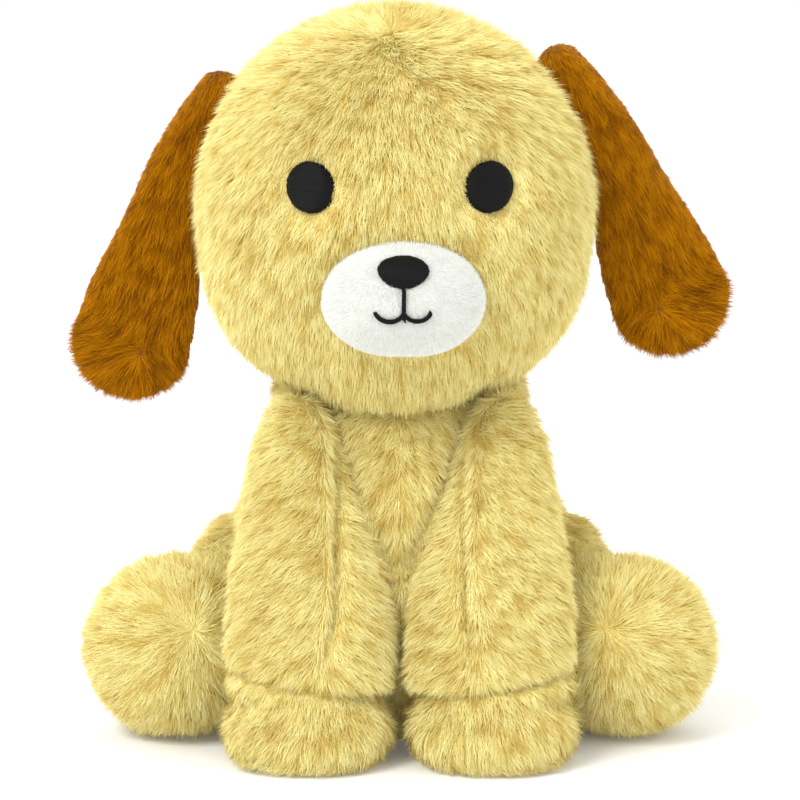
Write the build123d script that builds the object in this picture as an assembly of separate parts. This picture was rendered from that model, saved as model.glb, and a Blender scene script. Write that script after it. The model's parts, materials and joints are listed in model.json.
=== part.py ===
"""Sitting plush dog: fur fabric covers over stuffing, with floppy ears and sewn-on limbs.

Frame: origin on the floor under the middle of the toy, +Z up, the dog faces -Y, its left is +X.
Each cover is a shell that stands for the backing cloth and the laid pile together.
"""
import math
import os

from build123d import *

# ---------------------------------------------------------------- driving dimensions, millimetres
DEPTH = 154.0              # muzzle tip to tail tip
PLUSH = 4.0                # backing cloth and laid pile
MUZZLE_PLUSH = 2.0         # short white pile
SEAM_GAP = 0.1             # between a cover and what it wraps
MOVE_GAP = 0.6             # between two pieces that move apart

HEAD_R = 67.5
HEAD_Z = 179.5
NECK_PLUG = 5.0            # thickness of the stuffed neck under the head
NECK_PLUG_R = 14.0

MUZZLE = (26.0, 19.3)           # half width and half height
MUZZLE_BALL_R = 36.0            # curvature of its front
MUZZLE_Z = 155.0
EYE = (7.7, 8.3)                # half width and half height of the embroidered oval
EYE_X = 28.3
EYE_Z = 189.6
NOSE = (8.2, 5.4)
NOSE_Z = 164.4
MOUTH_Z = 154.0                 # height of the two curls' centres
MOUTH_CURL_R = 4.5
THREAD = 1.7                    # width of the sewn mouth line
THREAD_RISE = 1.0               # how far embroidery stands off its cloth

EAR_TIP_R = 20.5
EAR_ROOT_R = 5.5
EAR_TIP_X = 91.0
EAR_PANEL = 4.8
EAR_ROOT_ANGLE = {"left": 45.5, "right": 37.0}    # degrees above the head's equator
EAR_TIP_Z = {"left": 149.5, "right": 134.5}

TORSO_Y = 1.5
TORSO_HALF_WIDTH_AT_HIPS = 38.0
TORSO_SIDE = ((41.0, 0.0), (47.4, 55.0), (42.5, 134.0))      # radius and height along its bowed side
CHEST_HALF_WIDTH = 30.0
CHEST_POINT_Z = 60.0

SHOULDER = (27.6, -27.0, 100.0)
SHOULDER_R = 20.0
LEG_LIFTS = (6.0, 12.0)                     # degrees; the chest's outside makes room for the leg at each
FRONT_LEG_X = 30.2                          # middle of the leg below the shoulder
ANKLE = (29.6, 21.5, -49.5)                 # half width, half depth, middle Y
PAW = (29.4, 22.3, -51.7)
ANKLE_Z = 26.0

THIGH_R = 38.0
THIGH_CENTRE = (14.0, 36.0)                 # Y and Z
THIGH_OUTER_X = 66.0
THIGH_EDGE_R = 14.0
HIND_FOOT_R = 30.4
HIND_FOOT_CENTRE = (76.2, -13.6, 30.0)

TAIL_R = 9.0
TAIL_LENGTH = 11.0                          # between the centres of its two round ends
TAIL_Z = 40.0
TAIL_TILT = 40.0

PELLET_BAG_R = 25.0
PELLET_BAG_HEIGHT = 22.0
BAG_CLOTH = 0.8

BIG = 600.0
SIDES = {"left": 1.0, "right": -1.0}


# ---------------------------------------------------------------- shapes
def half_space(axis, at, keep):
    """A big block that holds the keep side (+1 or -1) of the plane axis = at."""
    centre = [0.0, 0.0, 0.0]
    centre["XYZ".index(axis)] = at + keep * BIG / 2
    return Pos(*centre) * Box(BIG, BIG, BIG)


def oval_bar(half_width, half_height, x, z):
    """A long bar along Y with an oval section."""
    return Pos(x, 0, z) * Rot(90, 0, 0) * extrude(Ellipse(half_width, half_height), BIG, both=True)


def along_y(radius, x, z):
    """A long round bar along Y."""
    return Pos(x, 0, z) * Rot(90, 0, 0) * Cylinder(radius, BIG)


def mirrored(shape, side):
    """The left-hand shape itself, or its mirror image for the right."""
    return shape if side > 0 else mirror(shape, about=Plane.YZ)


def save(shape, name):
    """Write one named piece."""
    export_step(shape, f"parts/{name}.step")


# ---------------------------------------------------------------- head
HEAD_CENTRE = (0, 0, HEAD_Z)
MUZZLE_BALL_Y = MUZZLE_BALL_R + THREAD_RISE - DEPTH / 2


def head_ball(grow=0.0):
    return Pos(*HEAD_CENTRE) * Sphere(HEAD_R + grow)


def muzzle_ball(grow=0.0):
    return Pos(0, MUZZLE_BALL_Y, MUZZLE_Z) * Sphere(MUZZLE_BALL_R + grow)


def muzzle_dome(grow=0.0):
    return muzzle_ball(grow) & oval_bar(MUZZLE[0] + grow, MUZZLE[1] + grow, 0, MUZZLE_Z)


def front_of_head():
    return half_space("Y", -1.0, -1)


def make_head():
    """Two cover halves sewn ear to ear over the crown, around one ball of stuffing."""
    cover = head_ball() - head_ball(-PLUSH)
    save(cover & half_space("Y", 0.0, -1), "head_front_cover")
    save(cover & half_space("Y", 0.0, 1), "head_back_cover")
    save(head_ball(-PLUSH - SEAM_GAP), "head_stuffing")


def make_muzzle():
    """A domed white patch sewn on the face, with its own pad of stuffing."""
    cover = (muzzle_dome() - muzzle_dome(-MUZZLE_PLUSH) - head_ball(SEAM_GAP)) & front_of_head()
    pad = (muzzle_dome(-MUZZLE_PLUSH - SEAM_GAP) - head_ball(SEAM_GAP)) & front_of_head()
    save(cover, "muzzle_cover")
    save(pad, "muzzle_stuffing")


def make_embroidery():
    """Satin stitched eyes, nose and mouth, each a thin patch on the cloth below it."""
    skin = head_ball(THREAD_RISE) - head_ball(SEAM_GAP)
    for name, side in SIDES.items():
        oval = oval_bar(*EYE, side * EYE_X, EYE_Z)
        save(skin & oval & front_of_head(), f"{name}_eye_embroidery")
    muzzle_skin = (muzzle_ball(THREAD_RISE) - muzzle_ball(SEAM_GAP)) & half_space("Y", MUZZLE_BALL_Y, -1)
    save(muzzle_skin & oval_bar(*NOSE, 0, NOSE_Z), "nose_embroidery")
    drop_top = NOSE_Z - NOSE[1] - 0.2
    drop_foot = MOUTH_Z - 1.0
    line = Pos(0, 0, (drop_top + drop_foot) / 2) * Box(THREAD, BIG, drop_top - drop_foot)
    for side in SIDES.values():
        x = side * (MOUTH_CURL_R - THREAD / 4)
        ring = along_y(MOUTH_CURL_R + THREAD / 2, x, MOUTH_Z) - along_y(MOUTH_CURL_R - THREAD / 2, x, MOUTH_Z)
        line = line + (ring & half_space("Z", MOUTH_Z, -1))
    save(muzzle_skin & line, "mouth_embroidery")


def ear_outline(name):
    """The ear in its own upright plane: a small round root that widens to a big round tip."""
    side = SIDES[name]
    reach = HEAD_R + MOVE_GAP + EAR_ROOT_R
    angle = math.radians(EAR_ROOT_ANGLE[name])
    root = (side * reach * math.cos(angle), HEAD_Z + reach * math.sin(angle))
    tip = (side * EAR_TIP_X, EAR_TIP_Z[name])
    run = math.hypot(tip[0] - root[0], tip[1] - root[1])
    heading = math.atan2(tip[1] - root[1], tip[0] - root[0])
    spread = math.acos((EAR_ROOT_R - EAR_TIP_R) / run)
    corners = []
    for centre, radius, turn in ((root, EAR_ROOT_R, 1), (tip, EAR_TIP_R, 1),
                                 (tip, EAR_TIP_R, -1), (root, EAR_ROOT_R, -1)):
        a = heading + turn * spread
        corners.append((centre[0] + radius * math.cos(a), centre[1] + radius * math.sin(a)))
    return root, tip, corners


def make_ears():
    """Each ear is a flap of two panels, a long-pile face and a lining, turned out and sewn at the rim."""
    for name in SIDES:
        root, tip, corners = ear_outline(name)
        flap = extrude(Plane.XZ * make_face(Polyline(*corners, close=True)), EAR_PANEL * 2, both=True)
        flap = flap + along_y(EAR_ROOT_R, *root) + along_y(EAR_TIP_R, *tip)
        flap = flap - head_ball(MOVE_GAP)
        face = Pos(0, -(EAR_PANEL + SEAM_GAP) / 2, 0) * Box(BIG, EAR_PANEL, BIG * 2)
        lining = Pos(0, (EAR_PANEL + SEAM_GAP) / 2, 0) * Box(BIG, EAR_PANEL, BIG * 2)
        save(flap & face, f"{name}_ear_face_panel")
        save(flap & lining, f"{name}_ear_lining_panel")


def neck_cup(inner, outer, radius):
    """A dished slice between two balls about the head's centre, under the head."""
    shell = head_ball(outer) - head_ball(inner)
    post = Pos(0, 0, HEAD_Z - HEAD_R) * Cylinder(radius, HEAD_R)
    return shell & post


def make_neck():
    """The stuffed neck opening, which lets the sewn-on head turn and nod."""
    save(neck_cup(MOVE_GAP, MOVE_GAP + NECK_PLUG, NECK_PLUG_R), "neck_stuffing")


# ---------------------------------------------------------------- front legs
def oval_at(half_width, half_depth, middle_y, x, z, grow):
    return Pos(x, middle_y, z) * Ellipse(half_width + grow, half_depth + grow)


def front_leg_shank(grow=0.0):
    """The left leg between the middle of its shoulder and the ankle."""
    x, y, z = SHOULDER
    shoulder = oval_at(SHOULDER_R, SHOULDER_R, y, x, z, grow)
    ankle = oval_at(*ANKLE, FRONT_LEG_X, ANKLE_Z, grow)
    return loft([ankle, shoulder], ruled=True)


def front_leg_body(grow=0.0):
    """The left leg: ovals from the round shoulder down to the ankle and the paw, leaning forward."""
    ankle = oval_at(*ANKLE, FRONT_LEG_X, ANKLE_Z, grow)
    sole = oval_at(*PAW, FRONT_LEG_X, -PLUSH, grow)
    lower = loft([sole, ankle], ruled=True)
    return front_leg_shank(grow) + lower + Pos(*SHOULDER) * Sphere(SHOULDER_R + grow)


def make_front_legs():
    """Two leg panels with a seam down the front, a paw top, a flat sole, and the stuffing inside."""
    envelope = front_leg_body() & half_space("Z", 0.0, 1)
    hollow = front_leg_body(-PLUSH) & half_space("Z", PLUSH, 1)
    core = front_leg_body(-PLUSH - SEAM_GAP) & half_space("Z", PLUSH + SEAM_GAP, 1)
    cover = envelope - hollow
    leg = cover & half_space("Z", ANKLE_Z, 1)
    paw = cover & half_space("Z", ANKLE_Z, -1) & half_space("Z", PLUSH, 1)
    seam_x = SHOULDER[0] + 1.0
    pieces = {
        "front_leg_outer_panel": leg & half_space("X", seam_x, 1),
        "front_leg_inner_panel": leg & half_space("X", seam_x, -1),
        "front_paw_cover": paw,
        "front_paw_sole": cover & half_space("Z", PLUSH, -1),
        "front_leg_stuffing": core,
    }
    for name, side in SIDES.items():
        for piece, shape in pieces.items():
            save(mirrored(shape, side), f"{name}_{piece}")


# ---------------------------------------------------------------- hind legs
def thigh_body(grow=0.0):
    """A round-edged disc about the hip's own sideways line, on the left."""
    inner = TORSO_HALF_WIDTH_AT_HIPS + MOVE_GAP - grow
    outer = THIGH_OUTER_X + grow
    disc = Rot(0, 90, 0) * Cylinder(THIGH_R + grow, outer - inner)
    disc = fillet(disc.edges().sort_by(Axis.X)[-1], THIGH_EDGE_R)
    return Pos((inner + outer) / 2, *THIGH_CENTRE) * disc


def hind_foot_ball(grow=0.0):
    return Pos(*HIND_FOOT_CENTRE) * Sphere(HIND_FOOT_R + grow)


def make_hind_legs():
    """A thigh panel sewn against the hip, a round foot, and one stuffing through both."""
    floor = half_space("Z", 0.0, 1)
    hollow = (thigh_body(-PLUSH) + hind_foot_ball(-PLUSH)) & half_space("Z", PLUSH, 1)
    core = (thigh_body(-PLUSH - SEAM_GAP) + hind_foot_ball(-PLUSH - SEAM_GAP))
    core = core & half_space("Z", PLUSH + SEAM_GAP, 1)
    thigh = (thigh_body() & floor) - hind_foot_ball(SEAM_GAP) - hollow
    foot = (hind_foot_ball() & floor) - hollow
    ankle_x = TORSO_HALF_WIDTH_AT_HIPS + MOVE_GAP + PLUSH
    pieces = {
        "thigh_outer_panel": thigh & half_space("X", ankle_x, 1),
        "thigh_inner_panel": thigh & half_space("X", ankle_x, -1),
        "hind_foot_cover": foot,
        "hind_leg_stuffing": core,
    }
    for name, side in SIDES.items():
        for piece, shape in pieces.items():
            save(mirrored(shape, side), f"{name}_{piece}")


# ---------------------------------------------------------------- torso
def torso_body(shrink=0.0):
    """The pear-shaped body, cut away for the head, the shoulders and the hips."""
    low, middle, high = ((r - shrink, 0, z) for r, z in TORSO_SIDE)
    outline = [ThreePointArc(low, middle, high), Line(high, (0, 0, high[2])),
               Line((0, 0, high[2]), (0, 0, low[2])), Line((0, 0, low[2]), low)]
    body = Pos(0, TORSO_Y, 0) * revolve(make_face(outline), Axis.Z)
    body = body - head_ball(MOVE_GAP + shrink)
    body = body - neck_cup(0.0, NECK_PLUG + 2 * MOVE_GAP + shrink, NECK_PLUG_R + MOVE_GAP + shrink)
    hip = TORSO_HALF_WIDTH_AT_HIPS - shrink
    hip_top = THIGH_CENTRE[1] + THIGH_R + 8.0 + shrink
    leg_room = front_leg_body(MOVE_GAP + shrink)
    for side in SIDES.values():
        block = Pos(side * (hip + BIG / 2), 0, hip_top - BIG / 2) * Box(BIG, BIG, BIG)
        body = body - mirrored(leg_room, side) - block
    return body & half_space("Z", shrink, 1)


def make_torso():
    """A V-shaped chest panel, two side panels that meet down the back, a base, and the filling."""
    outside = torso_body()
    for side in SIDES.values():
        for lift in LEG_LIFTS:
            lifted = front_leg_shank(MOVE_GAP).rotate(Axis(SHOULDER, (-1, 0, 0)), lift)
            outside = outside - mirrored(lifted, side)
    cover = outside - torso_body(PLUSH)
    base = cover & half_space("Z", PLUSH, -1)
    wall = cover & half_space("Z", PLUSH, 1)
    top = HEAD_Z
    corners = [(-CHEST_HALF_WIDTH * 2, top), (CHEST_HALF_WIDTH * 2, top), (0, CHEST_POINT_Z)]
    wedge = extrude(Plane.XZ * make_face(Polyline(*corners, close=True)), BIG)
    save(wall & wedge, "chest_panel")
    rest = wall - wedge
    save(rest & half_space("X", 0.0, 1), "left_side_panel")
    save(rest & half_space("X", 0.0, -1), "right_side_panel")
    save(base, "base_panel")
    bag_place = Pos(0, TORSO_Y + 6.0, PLUSH + 4.0 + PELLET_BAG_HEIGHT / 2)
    bag = bag_place * Cylinder(PELLET_BAG_R, PELLET_BAG_HEIGHT)
    inside = bag_place * Cylinder(PELLET_BAG_R - BAG_CLOTH, PELLET_BAG_HEIGHT - 2 * BAG_CLOTH)
    save(torso_body(PLUSH + SEAM_GAP) - bag, "torso_stuffing")
    save(bag - inside, "pellet_bag")
    save(inside, "pellet_fill")


# ---------------------------------------------------------------- tail
def tail_body(grow=0.0):
    radius = TAIL_R + grow
    tilt = math.radians(TAIL_TILT)
    tip_y = DEPTH / 2 - TAIL_R
    middle = (0, tip_y - math.cos(tilt) * TAIL_LENGTH / 2, TAIL_Z)
    bar = Cylinder(radius, TAIL_LENGTH)
    ends = Pos(0, 0, TAIL_LENGTH / 2) * Sphere(radius) + Pos(0, 0, -TAIL_LENGTH / 2) * Sphere(radius)
    return Pos(*middle) * Rot(TAIL_TILT - 90, 0, 0) * (bar + ends)


def make_tail():
    """A short stuffed tail that points up and back."""
    cover = tail_body() - tail_body(-PLUSH)
    save(cover & half_space("X", 0.0, 1), "tail_left_panel")
    save(cover & half_space("X", 0.0, -1), "tail_right_panel")
    save(tail_body(-PLUSH - SEAM_GAP), "tail_stuffing")


os.makedirs("parts", exist_ok=True)
make_head()
make_muzzle()
make_embroidery()
make_ears()
make_neck()
make_front_legs()
make_hind_legs()
make_torso()
make_tail()
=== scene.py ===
"""Plush dog: soft fur fabric skins, combed pile, stitched features and a plain studio stage."""
import json
import math

import bmesh
import bpy
import numpy as np
from bpy.props import FloatProperty, FloatVectorProperty, IntProperty, PointerProperty
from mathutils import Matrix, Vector


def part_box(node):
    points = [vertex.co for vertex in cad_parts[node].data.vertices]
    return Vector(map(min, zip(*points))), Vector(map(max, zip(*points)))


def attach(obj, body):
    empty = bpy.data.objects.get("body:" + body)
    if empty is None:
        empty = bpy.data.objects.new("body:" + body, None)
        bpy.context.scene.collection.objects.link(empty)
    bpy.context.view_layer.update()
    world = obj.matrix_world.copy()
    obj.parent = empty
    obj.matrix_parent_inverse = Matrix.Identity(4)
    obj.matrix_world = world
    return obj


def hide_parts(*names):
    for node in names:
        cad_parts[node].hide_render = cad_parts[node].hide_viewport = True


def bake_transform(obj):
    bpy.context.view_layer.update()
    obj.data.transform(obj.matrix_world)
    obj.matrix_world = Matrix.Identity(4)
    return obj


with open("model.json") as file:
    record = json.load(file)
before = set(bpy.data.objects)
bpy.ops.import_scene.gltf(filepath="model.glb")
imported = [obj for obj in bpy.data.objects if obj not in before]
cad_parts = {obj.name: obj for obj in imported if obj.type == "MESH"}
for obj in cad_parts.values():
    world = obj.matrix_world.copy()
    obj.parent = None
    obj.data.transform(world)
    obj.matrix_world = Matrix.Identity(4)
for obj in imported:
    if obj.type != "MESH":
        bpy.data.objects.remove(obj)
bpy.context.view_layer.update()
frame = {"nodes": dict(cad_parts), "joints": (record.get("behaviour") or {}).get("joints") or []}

bl_info = {
    "name": "Plush Dog",
    "version": (1, 0, 0),
    "blender": (4, 5, 0),
    "location": "View3D > Sidebar > Plush Dog",
    "description": "Builds the covers, combed pile and stitching of a sitting plush dog around its frame",
    "category": "Object",
}

MM = 0.001
SIDES = {"left": 1.0, "right": -1.0}
JOINTS = {joint["name"]: joint for joint in frame["joints"]}


def corners(node):
    """A CAD node's lowest and highest corners, as arrays."""
    low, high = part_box(node)
    return np.array(low), np.array(high)


def middle(node):
    low, high = corners(node)
    return (low + high) / 2


HEAD_MIDDLE = middle("head_stuffing")
HEAD_RADIUS = corners("head_front_cover")[1][0]
MUZZLE_LOW, MUZZLE_HIGH = corners("muzzle_cover")
MUZZLE_MIDDLE = (MUZZLE_LOW + MUZZLE_HIGH) / 2
PAW_LOW, PAW_HIGH = corners("left_front_paw_sole")
FOOT_LOW, FOOT_HIGH = corners("left_hind_foot_cover")
CHEST_LOW, CHEST_HIGH = corners("chest_panel")


# ---------------------------------------------------------------- settings
FACE_X = 1.1 * MM            # the muzzle, nose and mouth are sewn a little towards the left
HEAD_X = -1.8 * MM           # and the head's cover sits a little towards the right
FLOOR_GAP = 0.4 * MM         # a flat underside stays this far above the floor
STRAND_FLOOR = 0.3 * MM      # and no strand reaches lower than this
SOLE_Z = 1.5 * MM            # covers carry no pile below this height
FAR = 9.0                    # an oval distance that stands for nowhere near the oval
FIRST_TINT, TINT_STEP = 0.18, 0.19


class PlushColours(bpy.types.PropertyGroup):
    """Colours of the cloths and the thread."""
    body: FloatVectorProperty(name="Body pile", description="Colour of the long body pile",
                              subtype="COLOR", size=3, min=0, max=1, default=(0.92, 0.84, 0.375))
    # Painted shade: this deep ochre goes on whole strands, mostly those in the gaps between tufts where shade
    # falls in the pile, and the backing cloth's colours are drawn from it.
    body_shade_tint: FloatVectorProperty(name="Body pile root", description="Deeper colour low in the body pile",
                                   subtype="COLOR", size=3, min=0, max=1, default=(0.71, 0.54, 0.150))
    ear: FloatVectorProperty(name="Ear pile", description="Colour of the long ear pile",
                             subtype="COLOR", size=3, min=0, max=1, default=(0.52, 0.205, 0.0008))
    # Painted shade: this deep brown goes on whole ear strands, mostly those in the gaps between tufts where
    # shade falls in the pile, and the ear's backing cloth colour is drawn from it.
    ear_shade_tint: FloatVectorProperty(name="Ear pile root", description="Deeper colour low in the ear pile",
                                  subtype="COLOR", size=3, min=0, max=1, default=(0.27, 0.095, 0.0005))
    muzzle: FloatVectorProperty(name="Muzzle pile", description="Colour of the short muzzle pile",
                                subtype="COLOR", size=3, min=0, max=1, default=(0.90, 0.91, 0.87))
    thread: FloatVectorProperty(name="Thread", description="Colour of the embroidery thread",
                                subtype="COLOR", size=3, min=0, max=1, default=(0.003, 0.003, 0.003))


class PlushPile(bpy.types.PropertyGroup):
    """How the pile is made and combed."""
    length: FloatProperty(name="Pile length", description="Length of the body's strands",
                          unit="LENGTH", min=0.001, max=0.02, default=5.8 * MM)
    width: FloatProperty(name="Strand width", description="Width of one strand at its middle",
                         unit="LENGTH", min=0.0001, max=0.002, default=0.36 * MM)
    density: FloatProperty(name="Strands per square metre", description="How closely strands are set",
                           min=1e4, max=5e6, default=3.4e6)
    lift: FloatProperty(name="Lift", description="How far strands stand up from the cloth, 0 flat",
                        min=0, max=2, default=0.5)
    clump: FloatProperty(name="Clump", description="How strongly strand tips gather into tufts",
                         min=0, max=2, default=0.42)
    clump_size: FloatProperty(name="Clump size", description="Distance between neighbouring tufts",
                              unit="LENGTH", min=0.001, max=0.02, default=4.2 * MM)
    seed: IntProperty(name="Seed", description="Fixed seed of every random draw", default=7)


class PlushStage(bpy.types.PropertyGroup):
    """The camera and lights."""
    distance: FloatProperty(name="Camera distance", description="From the camera to the dog's middle",
                            unit="LENGTH", default=1.0)
    elevation: FloatProperty(name="Camera height", description="Angle of the camera above level",
                             subtype="ANGLE", default=math.radians(9.0))
    aim: FloatProperty(name="Aim height", description="Height that the camera looks at",
                       unit="LENGTH", default=112.5 * MM)
    lens: FloatProperty(name="Lens", description="Focal length in millimetres", default=132.0)


# ---------------------------------------------------------------- meshes
def new_object(name, mesh):
    obj = bpy.data.objects.new(name, mesh)
    bpy.context.scene.collection.objects.link(obj)
    return obj


def evaluated_copy(obj, name):
    """A plain mesh object of what obj's modifiers make, in place of obj."""
    depsgraph = bpy.context.evaluated_depsgraph_get()
    mesh = bpy.data.meshes.new_from_object(obj.evaluated_get(depsgraph), depsgraph=depsgraph)
    bpy.data.objects.remove(obj)
    mesh.name = name
    return new_object(name, mesh)


def positions(mesh):
    co = np.empty(len(mesh.vertices) * 3, np.float32)
    mesh.vertices.foreach_get("co", co)
    return co.reshape(-1, 3).astype(float)


def set_positions(mesh, co):
    mesh.vertices.foreach_set("co", co.astype(np.float32).ravel())
    mesh.update()


def normals(mesh):
    out = np.empty(len(mesh.vertices) * 3, np.float32)
    mesh.vertex_normals.foreach_get("vector", out)
    return out.reshape(-1, 3).astype(float)


def soft_form(name, lumps, voxel=2.6 * MM, rounds=14, floor=None):
    """One smooth closed skin over overlapping lumps: (centre, radii, tilt about X in degrees, about Y)."""
    mesh = bpy.data.meshes.new(name)
    work = bmesh.new()
    for centre, radii, tilt_x, tilt_y in lumps:
        made = bmesh.ops.create_icosphere(work, subdivisions=4, radius=1.0)["verts"]
        ax, ay = math.radians(tilt_x), math.radians(tilt_y)
        for vert in made:
            x, y, z = vert.co.x * radii[0], vert.co.y * radii[1], vert.co.z * radii[2]
            y, z = y * math.cos(ax) - z * math.sin(ax), y * math.sin(ax) + z * math.cos(ax)
            x, z = x * math.cos(ay) + z * math.sin(ay), -x * math.sin(ay) + z * math.cos(ay)
            vert.co = (centre[0] + x, centre[1] + y, centre[2] + z)
    work.to_mesh(mesh)
    work.free()
    obj = new_object(name + "_blank", mesh)
    remesh = obj.modifiers.new("remesh", "REMESH")
    remesh.mode = "VOXEL"
    remesh.voxel_size = voxel
    smooth = obj.modifiers.new("smooth", "SMOOTH")
    smooth.factor = 0.5
    smooth.iterations = rounds
    obj = evaluated_copy(obj, name)
    if floor is not None:
        co = positions(obj.data)
        low = co[:, 2] < floor
        co[low, 2] = floor
        set_positions(obj.data, co)
    shade_smooth(obj)
    return obj


def swept(sections, count):
    """Many lumps between a few sections, each a row of centre and radii, so that no step shows."""
    rows = np.array(sections, float)
    at = np.linspace(0, len(rows) - 1, count)
    known = np.arange(len(rows))
    smooth = np.stack([np.interp(at, known, column) for column in rows.T], 1)
    return [(row[:3], tuple(row[3:]), 0, 0) for row in smooth]


def shade_smooth(obj):
    obj.data.polygons.foreach_set("use_smooth", np.ones(len(obj.data.polygons), bool))
    obj.data.update()


def give(mesh, name, values):
    """Store one value or vector per vertex as a named attribute."""
    values = np.asarray(values, np.float32)
    kind, key = ("FLOAT_VECTOR", "vector") if values.ndim == 2 else ("FLOAT", "value")
    attribute = mesh.attributes.get(name) or mesh.attributes.new(name, kind, "POINT")
    attribute.data.foreach_set(key, values.ravel())


def unit(vectors):
    return vectors / np.maximum(np.linalg.norm(vectors, axis=-1, keepdims=True), 1e-9)


def ease(x, low, high):
    """0 below low, 1 above high, and a smooth rise between."""
    t = np.clip((x - low) / (high - low), 0, 1)
    return t * t * (3 - 2 * t)


def filling(skin, name, nodes, body, depth=4.2 * MM):
    """The stuffing inside a skin: the skin's own shape, drawn in by the thickness of the cloth."""
    obj = new_object(name, skin.data.copy())
    co = positions(obj.data) - normals(obj.data) * depth
    set_positions(obj.data, co)
    decimate = obj.modifiers.new("thin", "DECIMATE")
    decimate.ratio = 0.25
    obj = evaluated_copy(obj, name)
    obj.data.materials.clear()
    obj.data.materials.append(fibre_material())
    shade_smooth(obj)
    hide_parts(*nodes)
    if isinstance(body, str):
        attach(obj, body)
    else:
        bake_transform(obj)
    return obj


# ---------------------------------------------------------------- materials
def shader(name, colour, roughness, **sockets):
    """A Principled material with its constant values on its own sockets."""
    material = bpy.data.materials.get(name)
    if material:
        return material, material.node_tree.nodes["Principled BSDF"]
    material = bpy.data.materials.new(name)
    material.use_nodes = True
    bsdf = material.node_tree.nodes["Principled BSDF"]
    bsdf.inputs["Base Color"].default_value = (*colour, 1.0)
    bsdf.inputs["Roughness"].default_value = roughness
    for key, value in sockets.items():
        bsdf.inputs[key.replace("_", " ")].default_value = value
    return material, bsdf


def blend_colour(a, b, t):
    return tuple(x + (y - x) * t for x, y in zip(a, b))


def cloth_material(name, low, high, scale, bump):
    """Backing cloth seen between strands: mottled dye, with knitted loops as bump."""
    known = bpy.data.materials.get(name)
    if known:
        return known
    material, bsdf = shader(name, high, 0.9, Sheen_Weight=0.4, Sheen_Roughness=0.5)
    nodes, links = material.node_tree.nodes, material.node_tree.links
    place = nodes.new("ShaderNodeTexCoord")
    mottle = nodes.new("ShaderNodeTexNoise")
    mottle.inputs["Scale"].default_value = scale
    mottle.inputs["Detail"].default_value = 6.0
    ramp = nodes.new("ShaderNodeValToRGB")
    ramp.color_ramp.elements[0].position = 0.3
    ramp.color_ramp.elements[0].color = (*low, 1.0)
    ramp.color_ramp.elements[1].position = 0.7
    ramp.color_ramp.elements[1].color = (*high, 1.0)
    loops = nodes.new("ShaderNodeTexVoronoi")
    loops.inputs["Scale"].default_value = bump
    relief = nodes.new("ShaderNodeBump")
    relief.inputs["Strength"].default_value = 0.5
    relief.inputs["Distance"].default_value = 0.5 * MM
    links.new(place.outputs["Object"], mottle.inputs["Vector"])
    links.new(place.outputs["Object"], loops.inputs["Vector"])
    links.new(mottle.outputs["Fac"], ramp.inputs["Fac"])
    links.new(ramp.outputs["Color"], bsdf.inputs["Base Color"])
    links.new(loops.outputs["Distance"], relief.inputs["Height"])
    links.new(relief.outputs["Normal"], bsdf.inputs["Normal"])
    return material


def body_cloth():
    colours = bpy.context.scene.plush_colours
    # both cloth colours come from the painted shade tint, the deeper one darkened further towards black:
    # painted shade deep between strands
    return cloth_material("body_backing_cloth", blend_colour(colours.body_shade_tint, (0, 0, 0), 0.25),
                          blend_colour(colours.body_shade_tint, colours.body, 0.25), 160.0, 900.0)


def ear_cloth():
    colours = bpy.context.scene.plush_colours
    # both cloth colours come from the painted shade tint, the deeper one darkened further towards black:
    # painted shade deep between strands
    return cloth_material("ear_backing_cloth", blend_colour(colours.ear_shade_tint, (0, 0, 0), 0.3),
                          colours.ear_shade_tint, 160.0, 900.0)


def muzzle_cloth():
    colours = bpy.context.scene.plush_colours
    return cloth_material("muzzle_short_plush", blend_colour(colours.muzzle, (0.5, 0.5, 0.48), 0.12),
                          colours.muzzle, 220.0, 1100.0)


def fibre_material():
    return cloth_material("polyester_fibre", (0.74, 0.74, 0.72), (0.88, 0.88, 0.86), 120.0, 500.0)


def pile_materials(kind):
    """The painted shade tint for strands in the gaps between tufts, then tints from deep to pale, for one
    colour of pile; each strand takes one tint from root to tip.
    """
    colours = bpy.context.scene.plush_colours
    # the second colour of each kind is its painted shade tint
    base, root = {
        "body": (colours.body, colours.body_shade_tint),
        "ear": (colours.ear, colours.ear_shade_tint),
        "muzzle": (colours.muzzle, blend_colour(colours.muzzle, (0.55, 0.55, 0.52), 0.2)),
    }[kind]
    paler = {"body": (0.97, 0.91, 0.50), "ear": (0.62, 0.29, 0.003), "muzzle": (0.93, 0.93, 0.91)}[kind]
    tints = [
        # painted shade: the deepest tint, for strands in the gaps between tufts
        root,
        blend_colour(root, base, 0.45),
        blend_colour(root, base, 0.85),
        blend_colour(base, paler, 0.22),
        blend_colour(base, paler, 0.55),
    ]
    made = []
    for index, tint in enumerate(tints):
        material, _ = shader(f"{kind}_pile_{index}", tint, 0.75, Specular_IOR_Level=0.08)
        made.append(material)
    return made


def thread_material():
    material, _ = shader("black_satin_thread", bpy.context.scene.plush_colours.thread, 0.55,
                         Specular_IOR_Level=0.16)
    return material


# ---------------------------------------------------------------- node trees
def tree_with(name, sockets):
    """A geometry node tree with Geometry in and out and the named inputs; returns it and its ends."""
    tree = bpy.data.node_groups.new(name, "GeometryNodeTree")
    tree.interface.new_socket("Geometry", in_out="INPUT", socket_type="NodeSocketGeometry")
    for label, kind in sockets:
        tree.interface.new_socket(label, in_out="INPUT", socket_type=kind)
    tree.interface.new_socket("Geometry", in_out="OUTPUT", socket_type="NodeSocketGeometry")
    return tree, tree.nodes.new("NodeGroupInput"), tree.nodes.new("NodeGroupOutput")


def apply_tree(obj, tree, name, **values):
    """Run a node tree on obj with the given inputs, and return the plain result."""
    modifier = obj.modifiers.new("nodes", "NODES")
    modifier.node_group = tree
    identifiers = {item.name: item.identifier for item in tree.interface.items_tree
                   if item.in_out == "INPUT"}
    for label, value in values.items():
        modifier[identifiers[label.replace("_", " ")]] = value
    return evaluated_copy(obj, name)


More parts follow.
